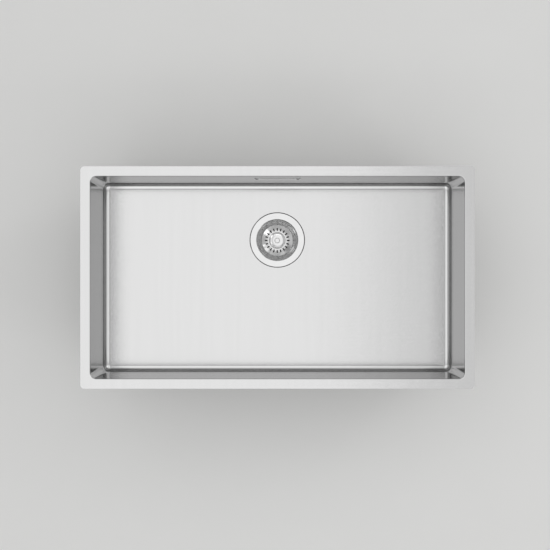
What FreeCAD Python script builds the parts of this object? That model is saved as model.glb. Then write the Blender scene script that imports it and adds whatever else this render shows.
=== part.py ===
"""Single-bowl stainless steel kitchen sink with a basket strainer waste and a slotted overflow.

Millimetres, +Z up. X runs along the bowl and +Y points to the rear wall. The origin is the centre
of the bowl's opening, in the plane of the rim's top face, which bears on the worktop.
"""

import FreeCAD, Part
import math
import os
import re

import Sketcher

# Driving dimensions: name, millimetres, count or share, what it measures.
SIZES = [
    # bowl
    ("bowl_length", 740, "inside the bowl, left to right"),
    ("bowl_width", 400, "inside the bowl, front to rear"),
    ("bowl_depth", 200, "rim's top face to the bowl's floor"),
    ("steel_sheet", 1.0, "thickness of the bowl's sheet"),
    ("corner_radius", 12, "inside radius of the four upright corners"),
    ("floor_radius", 10, "inside radius where the walls meet the floor"),
    ("rim_width", 20, "flat rim from the bowl's wall to its outer edge"),
    ("rim_corner_radius", 8, "outer corners of the rim"),
    ("rim_bend", 2.0, "radius of the bend from the rim into the wall"),
    ("drain_share", 0.2, "bowl's middle to the drain's axis, as a share of the bowl's width"),
    # pressed recess for the strainer's flange
    ("recess_depth", 3.0, "floor to the bottom of the recess"),
    ("recess_slope", 0.8, "width of the recess's sloping edge"),
    ("recess_gap", 0.3, "between the strainer's flange and the recess's edge"),
    ("flush_drop", 0.5, "strainer's flange below the floor"),
    # sound deadening pads
    ("pad_thickness", 3.0, "rubber pads under and round the bowl"),
    ("pad_corner", 12, "corner radius of a pad"),
    ("floor_pad_length", 230, "each of the two floor pads, left to right"),
    ("floor_pad_width", 300, "each of the two floor pads, front to rear"),
    ("floor_pad_centre", 210, "bowl's middle to a floor pad's middle"),
    ("end_pad_length", 240, "left and right wall pads, front to rear"),
    ("front_pad_length", 420, "front wall pad, left to right"),
    ("wall_pad_height", 90, "wall pads, up and down"),
    ("wall_pad_depth", 110, "rim's top face to a wall pad's middle"),
    # strainer cup
    ("flange_diameter", 115, "strainer's flange in the bowl's floor"),
    ("cup_bore", 87, "cup's mouth, inside"),
    ("cup_sheet", 1.0, "thickness of the cup's sheet"),
    ("cup_shoulder", 2.5, "radius from the flange into the cup"),
    ("cup_depth", 50, "flange's top to the cup's bottom, inside"),
    ("seat_depth", 8, "flange's top to the ledge the basket sits on"),
    ("seat_width", 2.0, "ledge the basket sits on"),
    ("cup_taper", 7.5, "cup's side draws in by this below the ledge"),
    ("cup_foot_radius", 4, "inside radius at the cup's bottom"),
    ("hole_clearance", 0.5, "round the cup in the bowl's drain hole"),
    ("cup_slots", 6, "drain slots in the cup's bottom"),
    ("cup_slot_width", 6, "across a drain slot"),
    ("cup_slot_inner", 10.5, "drain's axis to a slot's inner end"),
    ("cup_slot_length", 8, "along a drain slot"),
    # gaskets
    ("gasket_margin", 1.0, "gaskets stand back from the edges they seal by this"),
    ("body_gasket_thickness", 3.0, "between the bowl and the waste body"),
    # waste body
    ("body_wall", 3.0, "moulded wall of the waste body"),
    ("body_rim_thickness", 4.0, "rim that bears on the gasket"),
    ("chamber_gap", 3.0, "round the cup inside the chamber"),
    ("chamber_depth", 58, "floor to where the chamber starts to narrow"),
    ("throat_depth", 74, "floor to the top of the outlet"),
    ("outlet_diameter", 47.8, "over the outlet's one and a half inch pipe thread"),
    ("outlet_bore", 40, "inside the outlet"),
    ("outlet_length", 26, "outlet below the throat"),
    ("throat_shoulder", 2.0, "throat inside the outlet's bore, where the nut's carrier bears"),
    ("carrier_clearance", 0.2, "nut's carrier inside the outlet"),
    ("gusset_count", 12, "ribs under the waste body's rim"),
    ("gusset_thickness", 2.4, "across a rib"),
    ("gusset_height", 14, "down a rib"),
    ("spider_web", 3.0, "webs that hold the boss in the outlet"),
    ("boss_diameter", 27, "boss that takes the clamp nut"),
    ("boss_height", 12, "up the boss and its webs"),
    # clamp screw and nut
    ("screw_diameter", 12, "over the clamp screw's thread"),
    ("screw_bore", 8.2, "bore that guides the basket's stem"),
    ("screw_head_diameter", 18, "clamp screw's head"),
    ("screw_head_height", 2.5, "clamp screw's head above the cup's bottom"),
    ("screw_bore_depth", 23, "cup's bottom to the end of the guide bore"),
    ("screw_slot_width", 2.0, "screwdriver slot across the head"),
    ("screw_slot_depth", 1.2, "screwdriver slot's depth"),
    ("nut_across_flats", 19, "clamp nut"),
    ("nut_height", 7, "clamp nut"),
    ("nut_pocket_depth", 4, "how far the clamp nut goes into the boss"),
    ("thread_clearance", 0.1, "round a threaded or plain shank in its hole"),
    # basket
    ("basket_sheet", 0.8, "thickness of the basket's sheet"),
    ("lip_clearance", 1.0, "basket's lip inside the cup's mouth"),
    ("lip_width", 2.8, "lip round the basket"),
    ("lip_slope", 0.84, "fall of the lip towards the basket's middle, as a share of its width"),
    ("lip_lift", 0.1, "lip above the inner edge of the ledge it sits on"),
    ("basket_depth", 40, "flange's top to the basket's bottom, inside"),
    ("basket_floor_radius", 34.8, "where the basket's side would meet its sloping bottom"),
    ("basket_foot_radius", 4, "inside radius between the basket's side and bottom"),
    ("bottom_rise", 5.8, "rise of the sloping bottom from the ridge to the side"),
    ("ridge_radius", 20.8, "outside of the ridge round the basket's middle"),
    ("ridge_height", 4.5, "ridge above the basket's bottom"),
    ("ridge_width", 2.2, "flat top of the ridge"),
    ("dish_radius", 12.5, "where the basket's flat middle would meet the ridge's slope"),
    ("dish_bend", 16, "inside radius between the flat middle and the ridge's slope"),
    ("dish_rise", 0.8, "basket's flat middle above its bottom"),
    ("strainer_slots", 20, "slots round the basket's bottom"),
    ("slot_radius", 24, "drain's axis to the middle of a slot"),
    ("slot_length", 5, "along a slot"),
    ("slot_width", 2.6, "across a slot"),
    ("side_holes", 20, "holes round the basket's side"),
    ("side_hole_diameter", 3.0, "holes round the basket's side"),
    ("side_hole_depth", 5.0, "basket's lip to the middle of a side hole"),
    # stem, seal and knob of the basket
    ("stem_clearance", 0.1, "basket's stem in the clamp screw's bore"),
    ("stem_length", 20, "stem below its collar"),
    ("stem_collar_diameter", 15, "collar under the seal's washer"),
    ("stem_collar_height", 1.3, "collar under the seal's washer"),
    ("stem_neck_diameter", 5, "threaded neck through the basket into the knob"),
    ("ring_groove_depth", 1.0, "groove for the detent ring, into the stem"),
    ("ring_height", 2.0, "detent ring"),
    ("ring_offset", 4.0, "stem's end to the detent ring"),
    ("ring_clearance", 0.05, "round the detent ring"),
    ("seal_disc", 4.0, "thickness of the rubber seal's disc"),
    ("seal_radius", 28, "outside of the rubber seal, under the basket's slots"),
    ("seal_lip_width", 2.6, "rubber seal's lip"),
    ("seal_gap", 0.2, "seal's lip above the cup's bottom"),
    ("washer_radius", 13, "steel washer under the seal"),
    ("washer_thickness", 1.0, "steel washer under the seal"),
    ("knob_diameter", 12, "knob's head"),
    ("knob_waist", 8.4, "knob's waist"),
    ("knob_height", 9, "knob above the basket's middle"),
    ("knob_head_height", 4.5, "knob's head"),
    # overflow
    ("overflow_depth", 55, "rim's top face to the overflow slot's middle"),
    ("cover_length", 95, "overflow cover, left to right"),
    ("cover_height", 20, "overflow cover, up and down"),
    ("cover_sheet", 1.0, "thickness of the overflow cover"),
    ("cover_corner", 6, "corner radius of the overflow cover"),
    ("overflow_slot_length", 70, "slot in the cover, wall and gasket"),
    ("overflow_slot_height", 8, "slot in the cover, wall and gasket"),
    ("overflow_screw_spacing", 83, "between the two screws"),
    ("overflow_screw_diameter", 4, "shank of a screw"),
    ("overflow_screw_head", 7, "head of a screw"),
    ("overflow_screw_rise", 1.8, "head of a screw, outwards"),
    ("overflow_screw_length", 14, "shank of a screw"),
    ("overflow_gasket_thickness", 2.0, "between the wall and the housing"),
    ("housing_length", 98, "overflow housing, left to right"),
    ("housing_top", 18, "slot's middle to the housing's top"),
    ("housing_shoulder", 10, "slot's middle to where the housing draws in"),
    ("housing_bottom", 26, "slot's middle to the housing's bottom"),
    ("housing_foot", 32, "width of the housing's bottom"),
    ("housing_corner", 5, "corner radius of the housing"),
    ("housing_wall", 2.2, "moulded wall of the housing"),
    ("housing_top_depth", 18.5, "housing's front to its back, at its top"),
    ("cavity_depth", 16, "housing's front to the back of its cavity"),
    # overflow pipe and its compression joints
    ("pipe_diameter", 18, "overflow pipe, outside"),
    ("pipe_wall", 1.5, "overflow pipe"),
    ("pipe_clearance", 0.3, "round the pipe in a spigot"),
    ("pipe_bend", 34, "radius of the pipe's bend at its axis"),
    ("pipe_insertion", 14, "pipe inside a spigot"),
    ("pipe_drop", 42, "floor to the axis of the pipe's lower end"),
    ("spigot_wall", 2.0, "threaded spigots"),
    ("spigot_length", 20, "threaded spigots"),
    ("union_wall", 1.8, "union nuts, with their grip ribs"),
    ("union_rib", 0.6, "grip rib's height on a union nut"),
    ("union_ribs", 14, "grip ribs on a union nut"),
    ("union_length", 18, "union nuts"),
    ("union_cap", 3.0, "union nut's end wall"),
    ("union_clearance", 0.2, "union nut round its spigot"),
    ("pipe_seal_length", 5, "rubber seal in a union nut"),
    ("wall_clearance", 0.4, "union nut behind the bowl's rear wall"),
]

# Radii, heights and places that follow from the sizes. Heights of the drain's pieces are measured
# from the bowl's floor, and those of the overflow from the rim's top face.
PLACES = [
    ("drain_offset", "bowl_width * drain_share"),
    ("flange_top", "-flush_drop"),
    ("flange_radius", "flange_diameter / 2"),
    ("cup_radius", "cup_bore / 2"),
    ("cup_outside", "cup_bore / 2 + cup_sheet"),
    ("drain_hole_radius", "cup_bore / 2 + cup_sheet + hole_clearance"),
    ("cup_bottom", "-flush_drop - cup_depth"),
    ("seat_top", "-flush_drop - seat_depth"),
    ("seat_inside", "cup_bore / 2 - seat_width"),
    ("cup_foot", "cup_bore / 2 - seat_width - cup_taper"),
    ("recess_inside", "flange_diameter / 2 + recess_gap"),
    ("recess_outside", "flange_diameter / 2 + recess_gap + recess_slope"),
    ("recess_underside", "-recess_depth - steel_sheet"),
    ("body_top", "-recess_depth - steel_sheet - body_gasket_thickness"),
    ("body_rim_radius", "flange_diameter / 2 - gasket_margin"),
    ("chamber_radius", "cup_bore / 2 + cup_sheet + chamber_gap"),
    ("chamber_outside", "cup_bore / 2 + cup_sheet + chamber_gap + body_wall"),
    ("outlet_radius", "outlet_diameter / 2"),
    ("throat_radius", "outlet_bore / 2 - throat_shoulder"),
    ("boss_bottom", "-throat_depth - boss_height"),
    ("screw_radius", "screw_diameter / 2"),
    ("nut_top", "-throat_depth - boss_height + nut_pocket_depth"),
    ("nut_bottom", "-throat_depth - boss_height + nut_pocket_depth - nut_height"),
    ("lip_outside", "cup_bore / 2 - lip_clearance"),
    ("lip_inside", "cup_bore / 2 - lip_clearance - lip_width"),
    ("basket_bottom", "-flush_drop - basket_depth"),
    ("dish_top", "-flush_drop - basket_depth + dish_rise"),
    ("seal_top", "-flush_drop - basket_depth + dish_rise - basket_sheet"),
    ("washer_top", "seal_top - seal_disc"),
    ("collar_top", "seal_top - seal_disc - washer_thickness"),
    ("stem_top", "collar_top - stem_collar_height"),
    ("stem_end", "stem_top - stem_length"),
    ("stem_radius", "screw_bore / 2 - stem_clearance"),
    ("ring_bottom", "stem_end + ring_offset"),
    ("ring_top", "stem_end + ring_offset + ring_height"),
    ("ring_inside", "stem_radius - ring_groove_depth + ring_clearance"),
    ("neck_radius", "stem_neck_diameter / 2"),
    ("neck_hole", "stem_neck_diameter / 2 + thread_clearance"),
    ("spigot_bore", "pipe_diameter / 2 + pipe_clearance"),
    ("spigot_outside", "pipe_diameter / 2 + pipe_clearance + spigot_wall"),
    ("union_bore", "spigot_outside + union_clearance"),
    ("union_outside", "spigot_outside + union_clearance + union_wall"),
    ("wall_back", "bowl_width / 2 + steel_sheet"),
    ("housing_front", "wall_back + overflow_gasket_thickness"),
    ("pipe_y", "wall_back + wall_clearance + union_outside"),
    ("housing_depth", "pipe_y + spigot_outside + housing_wall / 2 - housing_front"),
    ("housing_low", "-overflow_depth - housing_bottom"),
    ("upper_mouth", "-overflow_depth - housing_bottom - spigot_length"),
    ("lower_mouth", "chamber_outside + spigot_length"),
]

doc = FreeCAD.newDocument("kitchen_sink")
sizes = doc.addObject("Spreadsheet::Sheet", "sizes")
places = doc.addObject("Spreadsheet::Sheet", "places")
HOMES = {row[0]: "sizes." for row in SIZES} | {row[0]: "places." for row in PLACES}


def formula(text):
    """The expression with each name written as the document reads it, with its sheet before it."""
    return re.sub("[a-z_]*[a-z]", lambda found: HOMES.get(found[0], "") + found[0], text)


def number(text):
    """What an expression comes to at the present sizes."""
    return float(sizes.evalExpression(formula(text)))


for row, (name, value, meaning) in enumerate(SIZES, start=1):
    sizes.set(f"A{row}", name)
    sizes.set(f"B{row}", str(value))
    sizes.setAlias(f"B{row}", name)
    sizes.set(f"C{row}", meaning)
doc.recompute()
for row, (name, text) in enumerate(PLACES, start=1):
    places.set(f"A{row}", name)
    places.set(f"B{row}", "=" + formula(text).replace("places.", ""))
    places.setAlias(f"B{row}", name)
doc.recompute()


def bind(item, prop, text):
    """Ties a property of an object to an expression on the sheet."""
    item.setExpression(prop, formula(text))


def new_body(label, y="0", z="0"):
    """An empty body whose own origin stands at y, z on the part's middle plane."""
    body = doc.addObject("PartDesign::Body", label)
    body.Label = label
    bind(body, "Placement.Base.y", y)
    bind(body, "Placement.Base.z", z)
    return body


def new_sketch(body, plane, shift):
    """A sketch on one of the body's origin planes, moved along that plane's normal by shift."""
    sketch = body.newObject("Sketcher::SketchObject", "sketch")
    base = next(f for f in body.Origin.OriginFeatures if f.Role == plane)
    sketch.AttachmentSupport = [(base, "")]
    sketch.MapMode = "FlatFace"
    bind(sketch, "AttachmentOffset.Base.z", shift)
    return sketch


def hold(rules, geometry, place):
    """Notes that a point of a sketch lies at its two distances from the sketch's origin."""
    for kind, text in zip(("DistanceX", "DistanceY"), place):
        rules.append((Sketcher.Constraint(kind, *geometry, number(text)), text))


def settle(sketch, rules):
    """Gives a sketch its constraints at one go, each bound to its expression."""
    first = sketch.ConstraintCount
    sketch.addConstraint([rule for rule, _ in rules])
    for index, (_, text) in enumerate(rules, start=first):
        bind(sketch, f"Constraints[{index}]", text)


def heading(here, there):
    """A step one millimetre long from one corner towards another, as two expressions."""
    if here[0] == there[0]:
        return "0", "1" if number(there[1]) > number(here[1]) else "-1"
    if here[1] == there[1]:
        return "1" if number(there[0]) > number(here[0]) else "-1", "0"
    across, up = f"({there[0]} - ({here[0]}))", f"({there[1]} - ({here[1]}))"
    length = f"hypot({across}; {up})"
    return f"{across} / {length}", f"{up} / {length}"


def rounded_ends(before, corner, after):
    """Where the rounding of a corner meets the sides before and after it.

    With c the cosine of the corner's angle, the arc leaves each side at
    radius * sqrt((1 + c) / (1 - c)) from the corner.
    """
    back, ahead = heading(corner, before), heading(corner, after)
    cosine = f"(({back[0]}) * ({ahead[0]}) + ({back[1]}) * ({ahead[1]}))"
    reach = f"({corner[2]}) * sqrt((1 + {cosine}) / (1 - {cosine}))"
    return [tuple(f"{corner[k]} + ({step[k]}) * {reach}" for k in (0, 1)) for step in (back, ahead)]


def vector(place):
    """A place given as two expressions, as a point of a sketch."""
    return FreeCAD.Vector(number(place[0]), number(place[1]), 0)


def add_outline(sketch, corners, closed=True):
    """Draws an outline or an open path through corners, each (across, up) or (across, up, rounding).

    Every end of a side is held by its own two distances, and every rounding is an arc of its own
    radius between the two sides that it joins.
    """
    count = len(corners)
    ends, starts = [], []
    for i, corner in enumerate(corners):
        if len(corner) > 2:
            end, start = rounded_ends(corners[i - 1], corner, corners[(i + 1) % count])
        else:
            end = start = corner
        ends.append(end)
        starts.append(start)
    rules = []
    for i in range(count if closed else count - 1):
        after = (i + 1) % count
        line = Part.LineSegment(vector(starts[i]), vector(ends[after]))
        index = sketch.addGeometry(line, False)
        hold(rules, (index, 1), starts[i])
        hold(rules, (index, 2), ends[after])
    for corner, end, start in zip(corners, ends, starts):
        if len(corner) < 3:
            continue
        first, last, tip = vector(end), vector(start), vector(corner)
        half_chord = (last - first) * 0.5
        middle = first + half_chord
        radius = number(corner[2])
        rise = radius - math.sqrt(max(radius**2 - half_chord.Length**2, 0))
        top = middle + (tip - middle).normalize() * rise
        if (tip - first).cross(last - tip).z < 0:
            first, last, end, start = last, first, start, end
        index = sketch.addGeometry(Part.Arc(first, top, last), False)
        hold(rules, (index, 1), end)
        hold(rules, (index, 2), start)
        rules.append((Sketcher.Constraint("Radius", index, radius), corner[2]))
    settle(sketch, rules)


def outline(body, plane, corners, shift="0"):
    """A sketch of one closed outline."""
    sketch = new_sketch(body, plane, shift)
    add_outline(sketch, corners)
    return sketch


def circles(body, plane, discs, shift="0"):
    """A sketch of circles, each (across, up, radius)."""
    sketch = new_sketch(body, plane, shift)
    rules = []
    for across, up, radius in discs:
        circle = Part.Circle(vector((across, up)), FreeCAD.Vector(0, 0, 1), number(radius))
        index = sketch.addGeometry(circle, False)
        hold(rules, (index, 3), (across, up))
        rules.append((Sketcher.Constraint("Radius", index, number(radius)), radius))
    settle(sketch, rules)
    return sketch


def rectangle(length, height, rounding, up="0", across="0"):
    """Corners of a rounded rectangle with its middle at across, up."""
    left, right = f"{across} - ({length}) / 2", f"{across} + ({length}) / 2"
    low, high = f"{up} - ({height}) / 2", f"{up} + ({height}) / 2"
    return [(left, low, rounding), (right, low, rounding), (right, high, rounding), (left, high, rounding)]


def hexagon(across_flats):
    """Corners of a hexagon about the origin, with flats at the front and rear."""
    flat, point = f"({across_flats}) / 2", f"({across_flats}) * 0.57735"
    half = f"({across_flats}) * 0.288675"
    return [
        (point, "0"), (half, flat), (f"-({half})", flat),
        (f"-({point})", "0"), (f"-({half})", f"-({flat})"), (half, f"-({flat})"),
    ]


def feature(body, kind, sketch, **settings):
    """A feature of the body made from a sketch, with its settings, recomputed."""
    item = body.newObject(f"PartDesign::{kind}", kind.lower())
    item.Profile = sketch
    for name, value in settings.items():
        setattr(item, name, value)
    doc.recompute()
    return item


def revolve(body, corners, plane="XZ_Plane", shift="0"):
    """Turns an outline about the sketch's upright axis."""
    sketch = outline(body, plane, corners, shift)
    return feature(body, "Revolution", sketch, ReferenceAxis=(sketch, ["V_Axis"]), Angle=360)


def pad(body, sketch, length, reversed_side=False, midplane=False):
    """Raises a sketch by length."""
    item = feature(body, "Pad", sketch, Reversed=reversed_side, Midplane=midplane)
    bind(item, "Length", length)
    doc.recompute()
    return item


def pocket(body, sketch, length=None, reversed_side=False):
    """Sinks a sketch by length, or right through on one side, and makes sure that it cut something."""
    before = body.Shape.Volume
    item = feature(body, "Pocket", sketch, Reversed=reversed_side, Type=0 if length else 1)
    if length:
        bind(item, "Length", length)
        doc.recompute()
    if body.Shape.Volume >= before - 1e-6:
        raise RuntimeError(f"a pocket in {body.Label} cut nothing")
    return item


def repeat_round(body, item, count, sketch, axis="N_Axis"):
    """Copies a feature round an axis of the sketch it was made from."""
    pattern = body.newObject("PartDesign::PolarPattern", "pattern")
    pattern.Originals = [item]
    pattern.Axis = (sketch, [axis])
    pattern.Angle = 360
    bind(pattern, "Occurrences", count)
    body.Tip = pattern
    doc.recompute()
    return pattern


def fillet(body, radius, chosen):
    """Rounds the edges of the body's last feature that a test picks out."""
    base = body.Tip
    edges = [f"Edge{i}" for i, edge in enumerate(base.Shape.Edges, start=1) if chosen(edge)]
    item = body.newObject("PartDesign::Fillet", "fillet")
    item.Base = (base, edges)
    bind(item, "Radius", radius)
    doc.recompute()
    return item


def level(edge, z):
    """True for an edge that lies flat at height z."""
    box = edge.BoundBox
    return abs(box.ZMin - z) < 1e-4 and abs(box.ZMax - z) < 1e-4


def within(edge, half_length, half_width):
    """True for an edge inside a rectangle about the origin."""
    box = edge.BoundBox
    reach_x = max(abs(box.XMin), abs(box.XMax))
    reach_y = max(abs(box.YMin), abs(box.YMax))
    return reach_x < half_length + 1e-3 and reach_y < half_width + 1e-3


def make_bowl():
    """One drawn sheet: flat rim, upright walls, floor, drain recess and overflow slot."""
    body = new_body("bowl")
    outside = rectangle("bowl_length + 2 * steel_sheet", "bowl_width + 2 * steel_sheet",
                        "corner_radius + steel_sheet")
    pad(body, outline(body, "XY_Plane", outside), "bowl_depth + steel_sheet", reversed_side=True)
    inside = rectangle("bowl_length", "bowl_width", "corner_radius")
    pocket(body, outline(body, "XY_Plane", inside), "bowl_depth")
    floor, underside = -number("bowl_depth"), -number("bowl_depth + steel_sheet")
    fillet(body, "floor_radius", lambda edge: level(edge, floor))
    fillet(body, "floor_radius + steel_sheet", lambda edge: level(edge, underside))

    rim = rectangle("bowl_length + 2 * rim_width", "bowl_width + 2 * rim_width", "rim_corner_radius")
    sketch = outline(body, "XY_Plane", rim)
    add_outline(sketch, inside)
    pad(body, sketch, "steel_sheet", reversed_side=True)
    half_length, half_width = number("bowl_length / 2"), number("bowl_width / 2")
    sheet_t = number("steel_sheet")
    fillet(body, "rim_bend", lambda edge: level(edge, 0) and within(edge, half_length, half_width))
    fillet(body, "rim_bend - steel_sheet / 2",
           lambda edge: level(edge, -sheet_t) and within(edge, half_length + sheet_t, half_width + sheet_t))

    to_drain = "-drain_offset"
    bulge = [
        ("0", "-bowl_depth - steel_sheet / 2"),
        ("recess_outside + steel_sheet", "-bowl_depth - steel_sheet / 2"),
        ("recess_outside + steel_sheet", "-bowl_depth - steel_sheet"),
        ("recess_inside + steel_sheet", "-bowl_depth + recess_underside"),
        ("0", "-bowl_depth + recess_underside"),
    ]
    revolve(body, bulge, shift=to_drain)
    hollow = [
        ("0", "-bowl_depth + steel_sheet"),
        ("recess_outside", "-bowl_depth + steel_sheet"),
        ("recess_outside", "-bowl_depth"),
        ("recess_inside", "-bowl_depth - recess_depth"),
        ("0", "-bowl_depth - recess_depth"),
    ]
    sketch = outline(body, "XZ_Plane", hollow, to_drain)
    feature(body, "Groove", sketch, ReferenceAxis=(sketch, ["V_Axis"]), Angle=360)
    pocket(body, circles(body, "XY_Plane", [("0", "drain_offset", "drain_hole_radius")]))

    slot = rectangle("overflow_slot_length", "overflow_slot_height", "overflow_slot_height * 0.45",
                     up="-overflow_depth")
    pocket(body, outline(body, "XZ_Plane", slot))
    pocket(body, circles(body, "XZ_Plane", overflow_screw_discs("thread_clearance")))
    return body


def overflow_screw_discs(clearance, radius="overflow_screw_diameter / 2"):
    """The two overflow screws' circles, seen along the rear wall's normal."""
    return [(f"{side} * overflow_screw_spacing / 2", "-overflow_depth", f"{radius} + {clearance}")
            for side in ("-1", "1")]


def make_pads():
    """Self-adhesive rubber pads: two under the floor, one on each wall but the rear one."""
    for label, side in (("floor_pad_left", "-1"), ("floor_pad_right", "1")):
        body = new_body(label, z="-bowl_depth - steel_sheet")
        shape = rectangle("floor_pad_length", "floor_pad_width", "pad_corner",
                          across=f"{side} * floor_pad_centre")
        pad(body, outline(body, "XY_Plane", shape), "pad_thickness", reversed_side=True)
    for label, side in (("wall_pad_left", -1), ("wall_pad_right", 1)):
        body = new_body(label)
        shape = rectangle("end_pad_length", "wall_pad_height", "pad_corner", up="-wall_pad_depth")
        sketch = outline(body, "YZ_Plane", shape, f"{side} * (bowl_length / 2 + steel_sheet)")
        pad(body, sketch, "pad_thickness", reversed_side=side < 0)
    body = new_body("wall_pad_front")
    shape = rectangle("front_pad_length", "wall_pad_height", "pad_corner", up="-wall_pad_depth")
    pad(body, outline(body, "XZ_Plane", shape, "wall_back"), "pad_thickness")


def drain_body(label):
    """A body on the drain's axis, with its own z = 0 at the bowl's floor."""
    return new_body(label, y="drain_offset", z="-bowl_depth")


def make_strainer_cup():
    """Drawn steel cup with its flange, the basket's ledge and a slotted bottom."""
    body = drain_body("strainer_cup")
    revolve(body, [
        ("flange_radius", "flange_top"),
        ("cup_radius", "flange_top", "cup_shoulder"),
        ("cup_radius", "seat_top"),
        ("seat_inside", "seat_top"),
        ("cup_foot", "cup_bottom", "cup_foot_radius"),
        ("screw_radius + thread_clearance", "cup_bottom"),
        ("screw_radius + thread_clearance", "cup_bottom - cup_sheet"),
        ("cup_foot + cup_sheet", "cup_bottom - cup_sheet", "cup_foot_radius + cup_sheet"),
        ("seat_inside + cup_sheet", "seat_top - cup_sheet"),
        ("cup_outside", "seat_top - cup_sheet"),
        ("cup_outside", "flange_top - cup_sheet", "cup_shoulder - cup_sheet"),
        ("flange_radius", "flange_top - cup_sheet"),
    ])
    slot = rectangle("cup_slot_length", "cup_slot_width", "cup_slot_width * 0.45",
                     across="cup_slot_inner + cup_slot_length / 2")
    sketch = outline(body, "XY_Plane", slot)
    repeat_round(body, pocket(body, sketch), "cup_slots", sketch)


def make_ring(label, inside, outside, top, thickness):
    """A flat ring on the drain's axis."""
    body = drain_body(label)
    revolve(body, [
        (inside, top), (outside, top), (outside, f"{top} - {thickness}"), (inside, f"{top} - {thickness}"),
    ])


def make_waste_body():
    """Moulded chamber under the bowl: rim, ribs, overflow spigot and a throat with a shoulder under it."""
    body = drain_body("waste_body")
    rim_bottom = "body_top - body_rim_thickness"
    revolve(body, [
        ("chamber_radius", "body_top"),
        ("body_rim_radius", "body_top"),
        ("body_rim_radius", rim_bottom),
        ("chamber_outside", rim_bottom),
        ("chamber_outside", "-chamber_depth", "body_wall * 2"),
        ("outlet_radius", "-throat_depth"),
        ("throat_radius", "-throat_depth"),
        ("throat_radius", "-throat_depth + body_wall"),
        ("chamber_radius", "-chamber_depth + body_wall / 2", "body_wall"),
    ])
    rib = outline(body, "XZ_Plane", [
        ("chamber_radius + body_wall / 2", rim_bottom),
        ("body_rim_radius - gasket_margin", rim_bottom),
        ("chamber_outside", f"{rim_bottom} - gusset_height"),
        ("chamber_radius + body_wall / 2", f"{rim_bottom} - gusset_height"),
    ])
    repeat_round(body, pad(body, rib, "gusset_thickness", midplane=True), "gusset_count", rib, "V_Axis")
    away = "-(chamber_radius + body_wall / 2)"
    spigot = circles(body, "XZ_Plane", [("0", "-pipe_drop", "spigot_outside")], away)
    pad(body, spigot, "spigot_length + body_wall / 2", reversed_side=True)
    pocket(body, circles(body, "XZ_Plane", [("0", "-pipe_drop", "spigot_bore")], "-cup_outside"))


def make_outlet():
    """Threaded outlet welded under the throat, and the carrier that holds the clamp nut in it."""
    make_ring("outlet_tail", "(outlet_bore / 2)", "outlet_radius", "(-throat_depth)", "outlet_length")
    body = drain_body("nut_carrier")
    ring_outside = "outlet_bore / 2 - carrier_clearance"
    revolve(body, [
        ("throat_radius", "-throat_depth"), (ring_outside, "-throat_depth"),
        (ring_outside, "boss_bottom"), ("throat_radius", "boss_bottom"),
    ])
    span = f"2 * throat_radius + {ring_outside} - throat_radius"
    web = outline(body, "XY_Plane", rectangle(span, "spider_web", "spider_web * 0.1"), "-throat_depth")
    repeat_round(body, pad(body, web, "boss_height", reversed_side=True), "2", web)
    boss = circles(body, "XY_Plane", [("0", "0", "boss_diameter / 2")], "-throat_depth")
    pad(body, boss, "boss_height", reversed_side=True)
    pocket(body, circles(body, "XY_Plane", [("0", "0", "screw_radius + thread_clearance")]))
    nut = outline(body, "XY_Plane", hexagon("nut_across_flats + 2 * thread_clearance"), "nut_top")
    pocket(body, nut)


def make_clamp():
    """Hollow screw that draws the cup and the waste body together, and its brass nut."""
    body = drain_body("clamp_screw")
    head = "screw_head_diameter / 2"
    revolve(body, [
        ("screw_bore / 2", "cup_bottom + screw_head_height"),
        (head, "cup_bottom + screw_head_height", "screw_head_height * 0.3"),
        (head, "cup_bottom"),
        ("screw_radius", "cup_bottom"),
        ("screw_radius", "nut_bottom"),
        ("0", "nut_bottom"),
        ("0", "cup_bottom - screw_bore_depth"),
        ("screw_bore / 2", "cup_bottom - screw_bore_depth"),
    ])
    slot = outline(body, "XY_Plane",
                   rectangle("screw_head_diameter * 1.2", "screw_slot_width", "screw_slot_width * 0.1"),
                   "cup_bottom + screw_head_height")
    pocket(body, slot, "screw_slot_depth")

    body = drain_body("clamp_nut")
    pad(body, outline(body, "XY_Plane", hexagon("nut_across_flats"), "nut_top"), "nut_height",
        reversed_side=True)
    pocket(body, circles(body, "XY_Plane", [("0", "0", "screw_radius + thread_clearance")]))


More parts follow.
